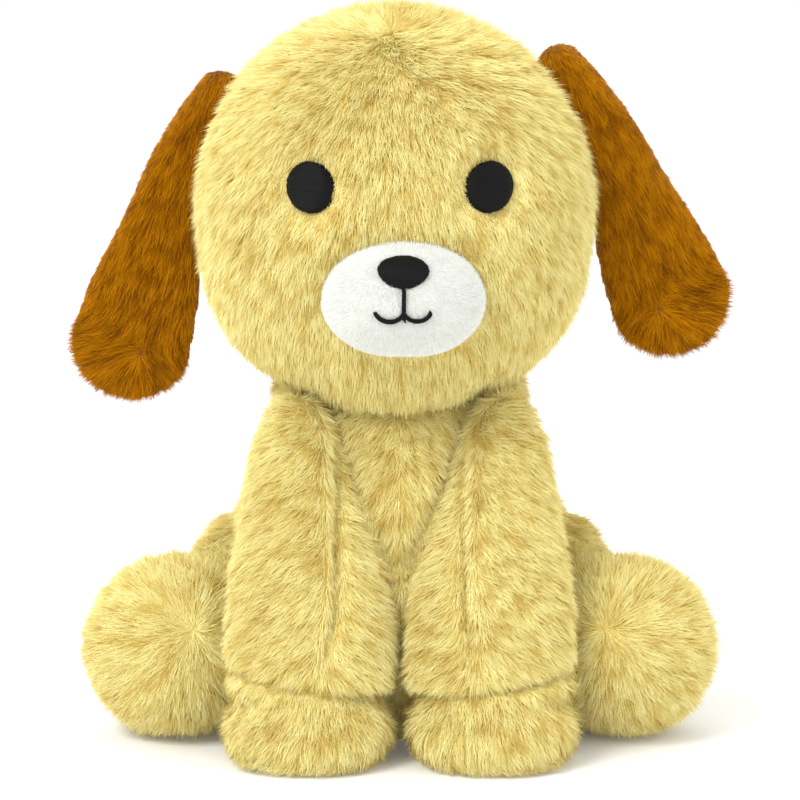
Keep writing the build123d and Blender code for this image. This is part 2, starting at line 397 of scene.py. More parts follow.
class Wires:
    """Short calls for adding and joining nodes in one tree."""

    def __init__(self, tree):
        self.tree = tree

    def node(self, kind, settings=None, **inputs):
        node = self.tree.nodes.new(kind)
        for key, value in (settings or {}).items():
            setattr(node, key, value)
        for key, value in inputs.items():
            self.put(node, key.replace("_", " "), value)
        return node

    def put(self, node, key, value):
        sockets = [s for s in node.inputs if s.enabled and s.name == key]
        socket = node.inputs[int(key[1:])] if key[0] == "i" and key[1:].isdigit() else sockets[0]
        if isinstance(value, bpy.types.NodeSocket):
            self.tree.links.new(value, socket)
        else:
            socket.default_value = value

    def out(self, node, key=0):
        if isinstance(key, int):
            return [s for s in node.outputs if s.enabled][key]
        return [s for s in node.outputs if s.enabled and s.name == key][0]

    def vector(self, operation, a, b=None, scale=None):
        node = self.node("ShaderNodeVectorMath", {"operation": operation}, i0=a)
        if b is not None:
            self.put(node, "i1", b)
        if scale is not None:
            self.put(node, "Scale", scale)
        return self.out(node)

    def maths(self, operation, a, b=0.0, c=0.0):
        node = self.node("ShaderNodeMath", {"operation": operation}, i0=a, i1=b)
        if operation == "MULTIPLY_ADD":
            self.put(node, "i2", c)
        return self.out(node)

    def attribute(self, name, kind):
        return self.out(self.node("GeometryNodeInputNamedAttribute", {"data_type": kind}, Name=name))


TINTS = 4


def pile_tree():
    """Strands over a surface: combed along 'nap', cut to 'pile', set where 'grow', gathered in tufts, and
    tinted by random patches and draws, deeper towards the gaps between tufts as painted shade.
    """
    known = bpy.data.node_groups.get("combed_pile")
    if known:
        return known
    floats = ("Density", "Length", "Width", "Lift", "Clump", "Clump size", "Swirl", "Jitter", "Patch")
    sockets = [(label, "NodeSocketFloat") for label in floats]
    sockets += [("Seed", "NodeSocketInt"), ("Strand", "NodeSocketObject")]
    sockets += [(f"Tint {index}", "NodeSocketMaterial") for index in range(TINTS + 1)]
    tree, start, end = tree_with("combed_pile", sockets)
    w = Wires(tree)
    given = start.outputs
    grow = w.attribute("grow", "FLOAT")
    pile = w.attribute("pile", "FLOAT")
    nap = w.attribute("nap", "FLOAT_VECTOR")
    thick = w.maths("MULTIPLY", given["Density"], grow)
    scatter = w.node("GeometryNodeDistributePointsOnFaces", {"distribute_method": "RANDOM"},
                     Mesh=given["Geometry"], Density=thick, Seed=given["Seed"])
    normal = w.out(scatter, "Normal")
    facing = w.node("GeometryNodeStoreNamedAttribute", {"data_type": "FLOAT_VECTOR", "domain": "POINT"},
                    Geometry=w.out(scatter, "Points"), Name="facing", Value=normal)
    place = w.out(w.node("GeometryNodeInputPosition"))
    facing_field = w.attribute("facing", "FLOAT_VECTOR")
    cells = w.node("ShaderNodeTexVoronoi", {"voronoi_dimensions": "3D"}, Vector=place,
                   Scale=w.maths("DIVIDE", 1.0, given["Clump size"]))
    to_cell = w.vector("SUBTRACT", w.out(cells, "Position"), place)
    pull = w.vector("SCALE", to_cell, scale=w.maths("DIVIDE", given["Clump"], given["Clump size"]))
    drift = w.node("ShaderNodeTexNoise", {"noise_dimensions": "3D"}, Vector=place, Scale=85.0, Detail=2.0)
    drift = w.vector("SUBTRACT", w.out(drift, "Color"), (0.5, 0.5, 0.5))
    drift = w.vector("SCALE", drift, scale=given["Swirl"])
    stray = w.node("FunctionNodeRandomValue", {"data_type": "FLOAT_VECTOR"}, Min=(-1.0, -1.0, -1.0),
                   Max=(1.0, 1.0, 1.0), Seed=given["Seed"])
    stray = w.vector("SCALE", w.out(stray), scale=given["Jitter"])
    raised = w.vector("SCALE", facing_field, scale=given["Lift"])
    lie = w.vector("ADD", w.vector("ADD", nap, raised), w.vector("ADD", w.vector("ADD", pull, drift), stray))
    lie = w.vector("NORMALIZE", lie)
    turn = w.node("FunctionNodeAxesToRotation", {"primary_axis": "Z", "secondary_axis": "Y"},
                  i0=lie, i1=facing_field)
    trim = w.node("FunctionNodeRandomValue", {"data_type": "FLOAT"}, Min=0.62, Max=1.12,
                  Seed=w.maths("ADD", given["Seed"], 3.0))
    long = w.maths("MULTIPLY", w.maths("MULTIPLY", w.out(trim), pile), given["Length"])
    sizes = w.out(w.node("ShaderNodeCombineXYZ", X=given["Width"], Y=given["Width"], Z=long))
    patch = w.node("ShaderNodeTexNoise", {"noise_dimensions": "3D"}, Vector=place, Scale=210.0, Detail=3.0)
    draw = w.node("FunctionNodeRandomValue", {"data_type": "FLOAT"}, Min=0.0, Max=0.5,
                  Seed=w.maths("ADD", given["Seed"], 9.0))
    # tint: random patches and draws are real tone; the distance from the tuft's centre is taken off it, which
    # paints shade into the gaps between tufts
    patchy = w.maths("MULTIPLY_ADD", w.maths("SUBTRACT", w.out(patch, "Fac"), 0.5), given["Patch"], 0.55)
    gap_shade = w.maths("MULTIPLY", w.out(cells, "Distance"), -0.75)
    tint = w.maths("ADD", w.maths("ADD", patchy, gap_shade), w.out(draw))
    tinted = w.node("GeometryNodeStoreNamedAttribute", {"data_type": "FLOAT", "domain": "POINT"},
                    Geometry=w.out(facing), Name="tint", Value=tint)
    strand = w.node("GeometryNodeObjectInfo", Object=given["Strand"])
    planted = w.node("GeometryNodeInstanceOnPoints", Points=w.out(tinted), Instance=w.out(strand, "Geometry"),
                     Rotation=w.out(turn), Scale=sizes)
    made = w.node("GeometryNodeRealizeInstances", Geometry=w.out(planted))
    finished = w.node("GeometryNodeSetMaterial", Geometry=w.out(made), Material=given["Tint 0"])
    tint_field = w.attribute("tint", "FLOAT")
    for index in range(TINTS):
        chosen = w.maths("GREATER_THAN", tint_field, FIRST_TINT + TINT_STEP * index)
        finished = w.node("GeometryNodeSetMaterial", Geometry=w.out(finished), Selection=chosen,
                          Material=given[f"Tint {index + 1}"])
    tree.links.new(w.out(finished), end.inputs[0])
    return tree


def strand_object():
    """One strand: a closed, tapering sliver one unit long and one wide at its root, of four triangles."""
    known = bpy.data.objects.get("strand")
    if known:
        return known
    points = [(-0.5, 0, 0), (0.5, 0, 0), (0, 0.55, 0), (0, 0.1, 1)]
    faces = [(0, 2, 1), (0, 1, 3), (1, 2, 3), (2, 0, 3)]
    mesh = bpy.data.meshes.new("strand")
    mesh.from_pydata(points, [], faces)
    mesh.update()
    return new_object("strand", mesh)


def grow_pile(skin, name, kind, seed, grow, **changes):
    """Comb one piece of pile over a skin, as thick as grow says; changes override the pile settings."""
    settings = bpy.context.scene.plush_pile
    base = new_object(name + "_base", skin.data.copy())
    give(base.data, "grow", grow)
    values = {
        "Density": settings.density, "Length": settings.length, "Width": settings.width,
        "Lift": settings.lift, "Clump": settings.clump, "Clump size": settings.clump_size,
        "Swirl": 0.8, "Jitter": 0.3, "Patch": 0.7,
    }
    values.update({key.replace("_", " "): value for key, value in changes.items()})
    values["Seed"] = settings.seed + seed
    values["Strand"] = strand_object()
    for index, material in enumerate(pile_materials(kind)):
        values[f"Tint {index}"] = material
    made = apply_tree(base, pile_tree(), name, **values)
    co = positions(made.data)
    if co[:, 2].min() < STRAND_FLOOR:
        # strands that would pass the floor are pressed into a thin layer on it
        layer = 0.04 * np.minimum(co[:, 2] + 8 * MM, 8 * MM)
        co[:, 2] = np.maximum(co[:, 2], STRAND_FLOOR + layer)
        set_positions(made.data, co)
    for label in ("facing", "nap", "pile", "grow", "tint"):
        attribute = made.data.attributes.get(label)
        if attribute:
            made.data.attributes.remove(attribute)
    return made


def thread_tree():
    """Round thread along every edge path."""
    known = bpy.data.node_groups.get("laid_thread")
    if known:
        return known
    sockets = [("Radius", "NodeSocketFloat"), ("Sides", "NodeSocketInt"), ("Thread", "NodeSocketMaterial")]
    tree, start, end = tree_with("laid_thread", sockets)
    w = Wires(tree)
    path = w.node("GeometryNodeMeshToCurve", Mesh=start.outputs["Geometry"])
    section = w.node("GeometryNodeCurvePrimitiveCircle", Resolution=start.outputs["Sides"],
                     Radius=start.outputs["Radius"])
    tube = w.node("GeometryNodeCurveToMesh", Curve=w.out(path), Profile_Curve=w.out(section), Fill_Caps=True)
    real = w.node("GeometryNodeRealizeInstances", Geometry=w.out(tube))
    done = w.node("GeometryNodeSetMaterial", Geometry=w.out(real), Material=start.outputs["Thread"])
    tree.links.new(w.out(done), end.inputs[0])
    return tree


def lay_threads(name, paths, radius, sides=6):
    """Threads along lists of points."""
    points, edges = [], []
    for path in paths:
        first = len(points)
        points += [tuple(p) for p in path]
        edges += [(first + i, first + i + 1) for i in range(len(path) - 1)]
    mesh = bpy.data.meshes.new(name)
    mesh.from_pydata(points, edges, [])
    obj = new_object(name + "_paths", mesh)
    made = apply_tree(obj, thread_tree(), name, Radius=radius, Sides=sides, Thread=thread_material())
    shade_smooth(made)
    return made


def seat(obj, body, slot, *nodes):
    """Put a finished piece on its body, or leave it in place when body is not one name, and hide the CAD
    nodes it stands for; slot, its finish, is not used.
    """
    if nodes:
        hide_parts(*nodes)
    if isinstance(body, str):
        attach(obj, body)
    else:
        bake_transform(obj)
    return obj


# ---------------------------------------------------------------- head
def along_surface(direction, normal):
    """direction laid into the surface, at unit length."""
    flat = direction - np.sum(direction * normal, axis=1, keepdims=True) * normal
    return unit(flat)


def head_nap(co, normal):
    """The pile runs away from a crown point above the brow, then down and outwards over the cheeks."""
    crown = HEAD_MIDDLE + HEAD_RADIUS * np.array([-0.05, -0.42, 0.90])
    away = co - crown
    down = np.array([0, 0, -1.0]) * ease(np.linalg.norm(away, axis=1), 0.02, 0.09)[:, None] * 0.06
    return along_surface(away + down, normal)


def oval_distance(co, x, z, half_width, half_height):
    """Distance, in ovals, from an oval's centre in the front view."""
    return np.hypot((co[:, 0] - x) / half_width, (co[:, 2] - z) / half_height)


def in_front(co):
    """1 on the front half of the head, 0 on the back."""
    return (co[:, 1] < HEAD_MIDDLE[1]).astype(float)


class PLUSH_OT_head(bpy.types.Operator):
    """Make the head's two covers, its stuffing and its combed pile"""
    bl_idname = "plush.head"
    bl_label = "Head"

    def execute(self, context):
        r = HEAD_RADIUS
        c = HEAD_MIDDLE + np.array([HEAD_X, 0, 0])
        ball = (c, (0.978 * r, 0.935 * r, 0.975 * r), 0, 0)
        chin = (c + np.array([0, -0.12 * r, -0.26 * r]), (0.72 * r, 0.78 * r, 0.79 * r), 0, 0)
        cheeks = [(c + np.array([side * 0.20 * r, -0.02 * r, -0.20 * r]),
                   (0.75 * r, 0.86 * r, 0.76 * r), 0, 0) for side in SIDES.values()]
        skin = soft_form("head_skin", [ball, chin, *cheeks], rounds=8)
        mesh = skin.data
        co, normal = positions(mesh), normals(mesh)
        front = in_front(co)
        eyes = np.full(len(co), FAR)
        for name in SIDES:
            low, high = corners(f"{name}_eye_embroidery")
            m, half = (low + high) / 2, (high - low) / 2
            eyes = np.minimum(eyes, oval_distance(co, m[0], m[2], half[0], half[2]))
        eyes = np.where(front > 0, eyes, FAR)
        socket = 1 - ease(eyes, 0.7, 1.9)
        socket_depth = 2.4
        co = co - normal * (socket * socket_depth * MM)[:, None]
        set_positions(mesh, co)
        normal = normals(mesh)
        half = (MUZZLE_HIGH - MUZZLE_LOW) / 2
        muzzle = oval_distance(co, FACE_X, MUZZLE_MIDDLE[2], half[0], half[2])
        muzzle = np.where(front > 0, muzzle, FAR)
        give(mesh, "nap", head_nap(co, normal))
        pile = (0.35 + 0.65 * ease(eyes, 1.0, 2.1)) * (0.6 + 0.4 * ease(muzzle, 0.95, 1.35))
        give(mesh, "pile", pile)
        bare = (eyes > 1.02) & (muzzle > 0.93)
        above = ease(co[:, 2], CHEST_HIGH[2] - 0.010, CHEST_HIGH[2] - 0.002)
        neck_radius, neck_front = 0.034, 0.012
        at_neck = (np.hypot(co[:, 0], co[:, 1]) < neck_radius) * (co[:, 1] > neck_front)
        grow = bare * (1 - (1 - above) * at_neck)
        grow_front = grow * front
        upper = co[:, 2] > c[2] + 0.12 * r
        regions = {
            "head_brow_pile": grow_front * upper,
            "head_cheek_pile": grow_front * ~upper,
            "head_back_pile": grow * (1 - front) * 0.45,
        }
        for index, (name, share) in enumerate(regions.items()):
            piece = grow_pile(skin, name, "body", 10 + index, share)
            seat(piece, "head", "cream_long_plush")
        mesh.materials.append(body_cloth())
        seat(skin, "head", "cream_long_plush", "head_front_cover", "head_back_cover")
        filling(skin, "head_fibre", ["head_stuffing"], "head")
        return {"FINISHED"}


class PLUSH_OT_muzzle(bpy.types.Operator):
    """Make the white short-pile muzzle patch and its pad"""
    bl_idname = "plush.muzzle"
    bl_label = "Muzzle"

    def execute(self, context):
        half = (MUZZLE_HIGH - MUZZLE_LOW) / 2
        c = np.array([FACE_X, HEAD_MIDDLE[1] - 0.86 * HEAD_RADIUS, MUZZLE_MIDDLE[2]])
        depth = c[1] - (MUZZLE_LOW[1] - 2.2 * MM)
        lumps = [(c, (half[0] * 0.96, depth, half[2] * 0.94), -8, 0)]
        for side in SIDES.values():
            pad = c + np.array([side * half[0] * 0.14, 0.5 * MM, -half[2] * 0.06])
            lumps.append((pad, (half[0] * 0.84, depth * 0.97, half[2] * 0.88), 0, 0))
        skin = soft_form("muzzle_skin", lumps, voxel=1.2 * MM, rounds=10)
        mesh = skin.data
        co, normal = positions(mesh), normals(mesh)
        away = co - (c + np.array([0, -depth, half[2] * 0.5]))
        give(mesh, "nap", along_surface(away, normal))
        give(mesh, "pile", np.ones(len(co)))
        shown = (co[:, 1] < c[1] + 2 * MM).astype(float)
        pile = grow_pile(skin, "muzzle_pile", "muzzle", 30, shown, Length=1.7 * MM, Width=0.22 * MM,
                         Density=1.1e7, Lift=1.1, Clump=0.2, Clump_size=1.6 * MM, Swirl=0.7, Jitter=0.5)
        seat(pile, "head", "white_short_plush")
        mesh.materials.append(muzzle_cloth())
        seat(skin, "head", "white_short_plush", "muzzle_cover")
        filling(skin, "muzzle_fibre", ["muzzle_stuffing"], "head", 2.2 * MM)
        return {"FINISHED"}


def on_surface(obj, x, z, proud):
    """A point in front of obj's surface at x, z in the front view, standing off by proud."""
    hit, place, normal, _ = obj.ray_cast((x, -1.0, z), (0, 1, 0))
    if not hit:
        raise RuntimeError(f"no surface of {obj.name} at {x:.4f}, {z:.4f}")
    return np.array(place) + np.array(normal) * proud


def satin_rows(obj, node, slant, pitch, proud, crown, outline, shift=0.0, squash=1.0):
    """Parallel satin threads that fill an oval, following the cloth below with a soft crown."""
    low, high = corners(node)
    m = (low + high) / 2 + np.array([shift, 0, 0])
    half_width = (high[0] - low[0]) / 2 * (1 + squash) / 2
    half_height = (high[2] - low[2]) / 2 * squash
    rows = []
    angle = math.radians(slant)
    along = np.array([math.cos(angle), math.sin(angle)])
    across = np.array([-along[1], along[0]])
    reach = max(half_width, half_height)
    for index, offset in enumerate(np.arange(-reach, reach, pitch)):
        inside = []
        for t in np.linspace(-reach, reach, 61):
            u, v = across * offset + along * t
            if outline(u / half_width, v / half_height) < 1:
                inside.append((u, v))
        if len(inside) < 4:
            continue
        ends = np.array([inside[0], inside[-1]])
        row = []
        for t in np.linspace(0, 1, 9):
            u, v = ends[0] + (ends[1] - ends[0]) * t
            rim = outline(u / half_width, v / half_height)
            dome = crown * math.sqrt(max(0.0, 1 - min(rim, 1.0) ** 2))
            dip = -0.9 * MM if t in (0, 1) else 0.0
            row.append(on_surface(obj, m[0] + u, m[2] + v, proud + dome + dip + (index % 2) * 0.06 * MM))
        rows.append(row)
    return rows


def oval(u, v):
    return math.hypot(u, v)


def rounded_triangle(u, v):
    """Broad and flat on top, narrowing below."""
    wide = 1.0 - 0.28 * max(0.0, -v) ** 1.4
    return (abs(u / wide) ** 2.3 + abs(v) ** 2.3) ** (1 / 2.3)


class PLUSH_OT_embroidery(bpy.types.Operator):
    """Stitch the eyes, the nose and the mouth"""
    bl_idname = "plush.embroidery"
    bl_label = "Embroidery"

    def execute(self, context):
        head = bpy.data.objects["head_skin"]
        muzzle = bpy.data.objects["muzzle_skin"]
        for name, side in SIDES.items():
            node = f"{name}_eye_embroidery"
            rows = satin_rows(head, node, 14 * side, 0.34 * MM, 1.5 * MM, 1.5 * MM, oval)
            under = satin_rows(head, node, 14 * side + 90, 0.5 * MM, 0.9 * MM, 1.4 * MM, oval)
            eye = lay_threads(f"{name}_eye", rows + under, 0.26 * MM)
            seat(eye, "head", "black_thread", node)
        rows = satin_rows(muzzle, "nose_embroidery", 78, 0.34 * MM, 1.1 * MM, 1.3 * MM,
                          rounded_triangle, FACE_X, 0.88)
        under = satin_rows(muzzle, "nose_embroidery", 0, 0.5 * MM, 0.6 * MM, 1.2 * MM,
                           rounded_triangle, FACE_X, 0.86)
        nose = lay_threads("nose", rows + under, 0.26 * MM)
        seat(nose, "head", "black_thread", "nose_embroidery")
        self.stitch_mouth(muzzle)
        return {"FINISHED"}

    def stitch_mouth(self, muzzle):
        """Short slanting stitches along the drop line and the two curls."""
        low, high = corners("mouth_embroidery")
        nose_low = corners("nose_embroidery")[0]
        width = (high[0] - low[0]) * 0.9
        curl = width / 4
        centre_z = low[2] + curl
        drop = nose_low[2] - centre_z + curl * 0.75
        lines = [[(FACE_X, nose_low[2] + 0.9 * MM - t * drop) for t in np.linspace(0, 1, 9)]]
        for side in SIDES.values():
            arc = [(FACE_X + side * (curl - curl * math.cos(a)),
                    centre_z - curl * 0.78 * math.sin(a) + 0.4 * MM) for a in np.linspace(0.12, 2.85, 19)]
            lines.append(arc)
        stitches = []
        for line in lines:
            for (x0, z0), (x1, z1) in zip(line[:-1], line[1:]):
                run = np.array([x1 - x0, z1 - z0])
                flat = np.array([-run[1], run[0]]) / np.linalg.norm(run)
                for share, shift in ((0.0, -0.42), (0.33, 0.0), (0.66, 0.42)):
                    a = np.array([x0, z0]) + run * (share - 0.45) + flat * shift * MM * 0.85
                    b = a + run * 1.7 + flat * 0.22 * MM
                    stitch = []
                    for t, up in ((0, -0.1), (0.25, 0.75), (0.5, 0.95), (0.75, 0.75), (1, -0.1)):
                        p = a + (b - a) * t
                        stitch.append(on_surface(muzzle, p[0], p[1], 0.75 * MM + up * MM * 0.75))
                    stitches.append(stitch)
        mouth = lay_threads("mouth", stitches, 0.27 * MM)
        seat(mouth, "head", "black_thread", "mouth_embroidery")


# ---------------------------------------------------------------- ears
EAR_TAPER = ((0.08, 0.2, 0.3, 0.5, 0.64, 0.75, 0.87, 1.0),            # share of the way to the tip
             (8.2, 10.8, 12.2, 13.8, 15.2, 17.4, 19.6, 20.6))        # half width there, in millimetres
EAR_TIP_RADIUS = 20.5 * MM
EAR_HALF_THICKNESS = 4.6 * MM
EAR_FREE_Z = (0.207, 0.216)  # the ear stops following the head between these heights


class PLUSH_OT_ears(bpy.types.Operator):
    """Make both floppy ears: two panels each, with long combed pile"""
    bl_idname = "plush.ears"
    bl_label = "Ears"

    def execute(self, context):
        for index, (name, side) in enumerate(SIDES.items()):
            root = np.array(JOINTS[f"{name}_ear_lift"]["pos_m"])
            low, high = corners(f"{name}_ear_face_panel")
            tip_x = high[0] - EAR_TIP_RADIUS if side > 0 else low[0] + EAR_TIP_RADIUS
            tip = np.array([tip_x, 0.0, low[2] + EAR_TIP_RADIUS - 1.0 * MM])
            lumps = []
            for t in np.linspace(0.08, 1, 34):
                radius = np.interp(t, *EAR_TAPER) * MM
                place = root + (tip - root) * t
                place[0] += side * (2.2 * math.sin(math.pi * t) - 5 * max(0, 0.4 - t)) * MM
                lumps.append((place, (radius, EAR_HALF_THICKNESS, radius), 0, 0))
            skin = soft_form(f"{name}_ear_skin", lumps, voxel=1.8 * MM, rounds=8)
            mesh = skin.data
            co = positions(mesh)
            self.clear_head(co)
            set_positions(mesh, co)
            normal = normals(mesh)
            whorl = tip + np.array([-side * 3.0 * MM, 0, -5.0 * MM])
            axis = unit((tip - root)[None])[0]
            spread = co - whorl
            spread[:, 1] = 0
            down = np.tile(axis, (len(co), 1))
            mix = 0.85 * ease((co - whorl) @ axis, -0.022, 0.012)[:, None]
            nap = along_surface(down * (1 - mix) + unit(spread) * mix, normal)
            give(mesh, "nap", nap)
            give(mesh, "pile", 0.26 + 0.74 * ease(np.abs(normal[:, 1]), 0.75, 0.995))
            front = (normal[:, 1] < 0).astype(float)
            for part, share, seed in (("face", front, 40), ("lining", 1 - front, 44)):
                pile = grow_pile(skin, f"{name}_ear_{part}_pile", "ear", seed + index, share,
                                 Length=7.0 * MM, Density=3.8e6, Lift=0.3, Clump=0.28,
                                 Swirl=0.6, Jitter=0.22, Patch=0.4)
                seat(pile, f"{name}_ear", "brown_long_plush")
            mesh.materials.append(ear_cloth())
            seat(skin, f"{name}_ear", "brown_long_plush",
                 f"{name}_ear_face_panel", f"{name}_ear_lining_panel")
        return {"FINISHED"}

    def clear_head(self, co):
        """Press the ear's inner edge back behind the curve of the head."""
        away = co - HEAD_MIDDLE
        distance = np.linalg.norm(away, axis=1)
        push = np.maximum(0, HEAD_RADIUS - 1.6 * MM - distance) * (1 - ease(co[:, 2], *EAR_FREE_Z))
        co += unit(away) * push[:, None]


# ---------------------------------------------------------------- torso
CHEST_SLOPE = 0.46           # half width of the V for each metre of height
TORSO_RINGS = ((10, 41, 41, 12), (26, 47, 44, 4), (50, 47.5, 45, 2),    # height, half width, half depth
               (76, 46.5, 44, 1), (97, 44.5, 38, 3))                    # and place in depth, millimetres
FIBRE_TOP = 0.102            # the torso's fibre ends here, below the neck
SEAM_DEPTH = 2.6


def chest_seam_distance(co):
    """Signed distance in the front view from the V-shaped chest seam, above zero inside the V."""
    edge = (co[:, 2] - CHEST_LOW[2]) * CHEST_SLOPE - np.abs(co[:, 0])
    return edge / math.hypot(1, CHEST_SLOPE)


class PLUSH_OT_torso(bpy.types.Operator):
    """Make the torso's covers, its filling and its combed pile"""
    bl_idname = "plush.torso"
    bl_label = "Torso"

    def execute(self, context):
        lumps = []
        for z, half_width, half_depth, y in TORSO_RINGS:
            lumps.append((np.array([0, y, z]) * MM, (half_width * MM, half_depth * MM, 30 * MM), 0, 0))
        lumps.append((np.array([0, 6, 114]) * MM, (43 * MM, 31 * MM, 17 * MM), 0, 0))
        lumps.append((np.array([0, -7, 84]) * MM, (30 * MM, 36 * MM, 30 * MM), 0, 0))
        skin = soft_form("torso_skin", lumps, rounds=10, floor=FLOOR_GAP)
        mesh = skin.data
        co = positions(mesh)
        self.cup_for_head(co)
        set_positions(mesh, co)
        normal = normals(mesh)
        seam = chest_seam_distance(co)
        groove = np.exp(-(seam / (2.2 * MM)) ** 2) * (co[:, 1] < 0) * ease(co[:, 2], 0.05, 0.075)
        co = co - normal * (groove * SEAM_DEPTH * MM)[:, None]
        set_positions(mesh, co)
        normal = normals(mesh)
        outward = np.stack([np.sign(co[:, 0]) * 0.35, np.zeros(len(co)), -np.ones(len(co))], 1)
        give(mesh, "nap", along_surface(outward, normal))
        give(mesh, "pile", 1 - 0.55 * groove)
        covered = np.linalg.norm(co - HEAD_MIDDLE, axis=1) < HEAD_RADIUS + 0.4 * MM
        covered |= co[:, 2] < SOLE_Z
        front = (co[:, 1] < 2 * MM) * (1.0 - covered) * 0.9
        back = (co[:, 1] >= 2 * MM) * (1.0 - covered) * 0.5
        for name, share, seed in (("chest_pile", front, 50), ("back_pile", back, 51)):
            seat(grow_pile(skin, name, "body", seed, share), "torso", "cream_long_plush")
        mesh.materials.append(body_cloth())
        seat(skin, "torso", "cream_long_plush",
             "chest_panel", "left_side_panel", "right_side_panel", "base_panel")
        fibre = filling(skin, "torso_fibre", ["torso_stuffing"], "torso")
        co = positions(fibre.data)
        co[:, 2] = np.minimum(co[:, 2], FIBRE_TOP)
        set_positions(fibre.data, co)
        return {"FINISHED"}

    def cup_for_head(self, co):
        """Dish the top so that the head sits in it."""
        away = co - HEAD_MIDDLE
        distance = np.linalg.norm(away, axis=1)
        cup = HEAD_RADIUS - 1.2 * MM
        inside = distance < cup
        co[inside] = HEAD_MIDDLE + away[inside] / distance[inside, None] * cup


# ---------------------------------------------------------------- front legs
def leg_blend(name):
    """Bodies and the stretch across the shoulder where the cloth bends."""
    joint = JOINTS[f"{name}_front_leg_lift"]
    pivot = np.array(joint["pos_m"])
    start = pivot + np.array([0, 0.006, 0.014])
    end = pivot + np.array([0, -0.012, -0.034])
    return "torso", f"{name}_front_leg", tuple(start), tuple(end)


LEG_SECTIONS = ((106, 34, -26, 11, 12), (98, 33.5, -28, 15, 16), (88, 33, -31, 17.5, 17.5),
                (74, 31.5, -35, 21, 18.5), (58, 30, -40, 25.4, 18.7), (42, 29.5, -45, 27, 18.7),
                (28, 29.5, -48, 27, 19))     # height, x, y, half width and half depth, millimetres
LEG_SEAM_DEPTH, ANKLE_FOLD_DEPTH = 3.2, 4.2


class PLUSH_OT_front_legs(bpy.types.Operator):
    """Make both front legs: two panels with a seam down the front, and round paws"""
    bl_idname = "plush.front_legs"
    bl_label = "Front legs"

    def execute(self, context):
        foot_x = (PAW_LOW[0] + PAW_HIGH[0]) / 2
        foot_y = (PAW_LOW[1] + PAW_HIGH[1]) / 2
        ankle_z = corners("left_front_paw_cover")[1][2]
        for index, (name, side) in enumerate(SIDES.items()):
            def at(x, y, z):
                return np.array([side * x, y, z])
            rows = [(*at(x * MM, y * MM, z * MM), half_width * MM, half_depth * MM, 12 * MM)
                    for z, x, y, half_width, half_depth in LEG_SECTIONS]
            lumps = swept(rows, 30)
            lumps.append((at(foot_x, foot_y + 1 * MM, 11 * MM), (26.9 * MM, 21.0 * MM, 16.5 * MM), 0, 0))
            lumps.append((at(foot_x, foot_y - 3 * MM, 9 * MM), (25.0 * MM, 18.6 * MM, 13.5 * MM), 0, 0))
            skin = soft_form(f"{name}_front_leg_skin", lumps, voxel=2.2 * MM, rounds=8, floor=FLOOR_GAP)
            mesh = skin.data
            co = positions(mesh)
            normal = normals(mesh)
            centre_x = side * (25.6 * MM - 5.2 * MM * ease(co[:, 2], 0.025, 0.060))
            front = ease(-normal[:, 1], 0.1, 0.6)
            across = co[:, 0] - centre_x
            seam = np.exp(-(across / (2.0 * MM)) ** 2) * front * ease(co[:, 2], 0.028, 0.050)
            fold_z = ankle_z + 0.5 * MM + 0.16 * side * across
            fold = np.exp(-((co[:, 2] - fold_z) / (2.0 * MM)) ** 2) * ease(-normal[:, 1], -0.3, 0.3)
            co = co - normal * (seam * LEG_SEAM_DEPTH * MM + fold * ANKLE_FOLD_DEPTH * MM)[:, None]
            set_positions(mesh, co)
            normal = normals(mesh)
            paw = co[:, 2] < fold_z
            part = np.sign(across) * 0.95 * (1 - np.exp(-(across / (3 * MM)) ** 2)) * front
            comb = np.stack([part, np.zeros(len(co)), -np.ones(len(co))], 1)
            toe = np.stack([across / (20 * MM), -1.1 * np.ones(len(co)), -0.9 * np.ones(len(co))], 1)
            comb = np.where(paw[:, None], toe, comb)
            give(mesh, "nap", along_surface(comb, normal))
            give(mesh, "pile", 1 - 0.6 * seam - 0.6 * fold)
            shown = (co[:, 2] > SOLE_Z).astype(float)
            pile = grow_pile(skin, f"{name}_front_leg_pile", "body", 60 + index, shown, Density=2.75e6)
            seat(pile, leg_blend(name), "cream_long_plush")
            mesh.materials.append(body_cloth())
            nodes = [f"{name}_{part}" for part in ("front_leg_outer_panel", "front_leg_inner_panel",
                                                   "front_paw_cover", "front_paw_sole")]
            seat(skin, leg_blend(name), "cream_long_plush", *nodes)
            filling(skin, f"{name}_front_leg_fibre", [f"{name}_front_leg_stuffing"], leg_blend(name))
        return {"FINISHED"}


# ---------------------------------------------------------------- hind legs
THIGH_INNER_X = 39.4 * MM    # the thigh lies flat against the torso here


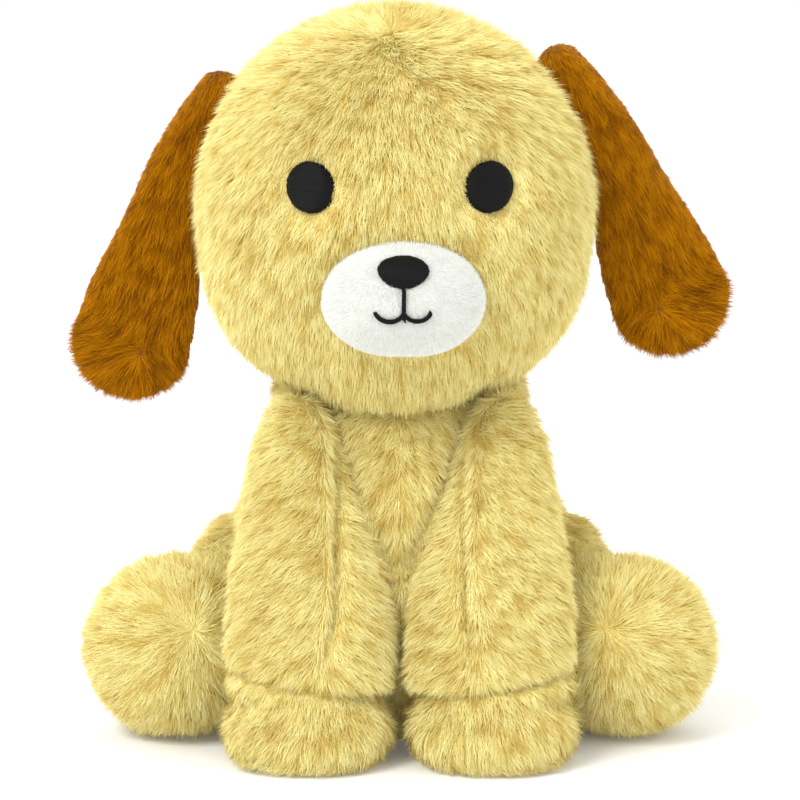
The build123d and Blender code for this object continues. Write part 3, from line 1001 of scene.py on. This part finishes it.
class PLUSH_OT_hind_legs(bpy.types.Operator):
    """Make both hind legs: a thigh against the hip and a round foot"""
    bl_idname = "plush.hind_legs"
    bl_label = "Hind legs"

    def execute(self, context):
        foot = (FOOT_LOW + FOOT_HIGH) / 2
        foot_x = FOOT_HIGH[0] - 30.4 * MM
        thigh_low, thigh_high = corners("left_thigh_outer_panel")
        thigh = (thigh_low + thigh_high) / 2
        for index, (name, side) in enumerate(SIDES.items()):
            ball = np.array([side * foot_x, foot[1], 30 * MM])
            lumps = [
                (ball, (29.8 * MM, 29.4 * MM, 29.8 * MM), 0, 0),
                (np.array([side * 45 * MM, thigh[1], 40 * MM]), (16 * MM, 38 * MM, 41 * MM), 0, 0),
                (np.array([side * 57 * MM, thigh[1] - 2 * MM, 34 * MM]), (18 * MM, 33 * MM, 35 * MM), 0, 0),
            ]
            skin = soft_form(f"{name}_hind_leg_skin", lumps, voxel=2.2 * MM, rounds=8, floor=FLOOR_GAP)
            mesh = skin.data
            co = positions(mesh)
            reach = co[:, 0] * side
            co[:, 0] = np.where(reach < THIGH_INNER_X, side * THIGH_INNER_X, co[:, 0])
            set_positions(mesh, co)
            normal = normals(mesh)
            crest = ball + np.array([side * -8 * MM, -26 * MM, 12 * MM])
            away = co - crest
            over = np.stack([np.zeros(len(co)), -0.3 * np.ones(len(co)), -np.ones(len(co))], 1)
            near = ease(np.linalg.norm(co - ball, axis=1), 0.031, 0.040)[:, None]
            comb = unit(away) * (1 - near) + over * near
            give(mesh, "nap", along_surface(comb, normal))
            give(mesh, "pile", np.ones(len(co)))
            outside = co[:, 0] * side > THIGH_INNER_X + 0.5 * MM
            shown = ((co[:, 2] > SOLE_Z) & outside).astype(float)
            pile = grow_pile(skin, f"{name}_hind_leg_pile", "body", 70 + index, shown, Density=2.6e6)
            seat(pile, f"{name}_hind_leg", "cream_long_plush")
            mesh.materials.append(body_cloth())
            nodes = [f"{name}_{part}" for part in ("thigh_outer_panel", "thigh_inner_panel",
                                                   "hind_foot_cover")]
            seat(skin, f"{name}_hind_leg", "cream_long_plush", *nodes)
            filling(skin, f"{name}_hind_leg_fibre", [f"{name}_hind_leg_stuffing"], f"{name}_hind_leg")
        return {"FINISHED"}


class PLUSH_OT_tail(bpy.types.Operator):
    """Make the short tail"""
    bl_idname = "plush.tail"
    bl_label = "Tail"

    def execute(self, context):
        high = corners("tail_left_panel")[1]
        root = np.array(JOINTS["tail_wag"]["pos_m"])
        radius = high[0]
        tip = np.array([0, high[1] - radius, high[2] - radius])
        lumps = [(root + (tip - root) * t, (radius * 0.93,) * 3, 0, 0) for t in np.linspace(0, 1, 5)]
        skin = soft_form("tail_skin", lumps, voxel=1.5 * MM, rounds=6)
        mesh = skin.data
        co, normal = positions(mesh), normals(mesh)
        axis = np.tile(unit((tip - root)[None])[0], (len(co), 1))
        give(mesh, "nap", along_surface(axis + 0.2 * normal, normal))
        give(mesh, "pile", np.full(len(co), 0.8))
        pile = grow_pile(skin, "tail_pile", "body", 80, np.ones(len(co)), Density=2.2e6)
        seat(pile, "tail", "cream_long_plush")
        mesh.materials.append(body_cloth())
        seat(skin, "tail", "cream_long_plush", "tail_left_panel", "tail_right_panel")
        filling(skin, "tail_fibre", ["tail_stuffing"], "tail")
        return {"FINISHED"}


class PLUSH_OT_inner_parts(bpy.types.Operator):
    """Finish the parts that stay inside: the neck's fibre, the pellet bag and its pellets"""
    bl_idname = "plush.inner_parts"
    bl_label = "Inner parts"

    def execute(self, context):
        woven = cloth_material("bag_muslin", (0.62, 0.60, 0.54), (0.80, 0.78, 0.72), 400.0, 1600.0)
        beads = cloth_material("plastic_pellets", (0.60, 0.60, 0.58), (0.78, 0.78, 0.76), 260.0, 420.0)
        looks = {"neck_stuffing": fibre_material(), "pellet_bag": woven, "pellet_fill": beads}
        for node, material in looks.items():
            part = frame["nodes"][node]
            part.data.materials.clear()
            part.data.materials.append(material)
        return {"FINISHED"}


# ---------------------------------------------------------------- stage
LIGHTS = {"key": ((-0.75, -0.9, 1.15), 0.7, 14.0),        # place, size and power
          "fill": ((1.1, -0.7, 0.55), 0.9, 2.6),
          "rim": ((0.1, 0.9, 1.1), 0.8, 2.0)}


def area_light(name, place, aim, size, power):
    data = bpy.data.lights.new(name, "AREA")
    data.shape = "DISK"
    data.size = size
    data.energy = power
    obj = bpy.data.objects.new(name, data)
    bpy.context.scene.collection.objects.link(obj)
    obj.location = place
    obj.rotation_euler = (aim - obj.location).to_track_quat("-Z", "Y").to_euler()
    return obj


class PLUSH_OT_stage(bpy.types.Operator):
    """Set the camera, the soft studio lights and a plain pale floor"""
    bl_idname = "plush.stage"
    bl_label = "Stage"

    def execute(self, context):
        scene = context.scene
        settings = scene.plush_stage
        scene.view_settings.view_transform = "Standard"
        aim = Vector((0, 0, settings.aim))
        camera = bpy.data.objects.new("camera", bpy.data.cameras.new("camera"))
        scene.collection.objects.link(camera)
        camera.data.sensor_width = 36.0
        camera.data.lens = settings.lens
        camera.data.clip_start = 0.05
        e = settings.elevation
        camera.location = aim + Vector((0, -math.cos(e), math.sin(e))) * settings.distance
        camera.rotation_euler = (aim - camera.location).to_track_quat("-Z", "Y").to_euler()
        scene.camera = camera
        for name, (place, size, power) in LIGHTS.items():
            area_light(name, place, aim, size, power)
        world = bpy.data.worlds.new("studio")
        world.use_nodes = True
        world.node_tree.nodes["Background"].inputs["Color"].default_value = (1, 1, 1, 1)
        world.node_tree.nodes["Background"].inputs["Strength"].default_value = 1.02
        scene.world = world
        work = bmesh.new()
        bmesh.ops.create_grid(work, x_segments=1, y_segments=1, size=6.0)
        mesh = bpy.data.meshes.new("floor")
        work.to_mesh(mesh)
        work.free()
        floor = new_object("floor", mesh)
        material, _ = shader("pale_floor", (0.93, 0.93, 0.925), 0.85, Emission_Color=(1, 1, 1, 1),
                             Emission_Strength=0.06)
        mesh.materials.append(material)
        return {"FINISHED"}


# ---------------------------------------------------------------- panel and registration
OPERATORS = (PLUSH_OT_head, PLUSH_OT_muzzle, PLUSH_OT_embroidery, PLUSH_OT_ears, PLUSH_OT_torso,
             PLUSH_OT_front_legs, PLUSH_OT_hind_legs, PLUSH_OT_tail, PLUSH_OT_inner_parts, PLUSH_OT_stage)
SETTINGS = (("plush_colours", PlushColours), ("plush_pile", PlushPile), ("plush_stage", PlushStage))


class PLUSH_PT_panel(bpy.types.Panel):
    """The sidebar panel with every piece and setting"""
    bl_idname = "PLUSH_PT_panel"
    bl_label = "Plush Dog"
    bl_space_type = "VIEW_3D"
    bl_region_type = "UI"
    bl_category = "Plush Dog"

    def draw(self, context):
        for operator in OPERATORS:
            self.layout.operator(operator.bl_idname)
        for name, group in SETTINGS:
            box = self.layout.box()
            for label in group.__annotations__:
                box.prop(getattr(context.scene, name), label)


def register():
    for name, group in SETTINGS:
        bpy.utils.register_class(group)
        setattr(bpy.types.Scene, name, PointerProperty(type=group))
    for item in (*OPERATORS, PLUSH_PT_panel):
        bpy.utils.register_class(item)


def unregister():
    for item in reversed((*OPERATORS, PLUSH_PT_panel)):
        bpy.utils.unregister_class(item)
    for name, group in reversed(SETTINGS):
        delattr(bpy.types.Scene, name)
        bpy.utils.unregister_class(group)


def main():
    register()
    for operator in OPERATORS:
        family, name = operator.bl_idname.split(".")
        getattr(getattr(bpy.ops, family), name)()
    strand = bpy.data.objects.get("strand")
    if strand:
        bpy.data.objects.remove(strand)


if __name__ == "__main__":
    main()
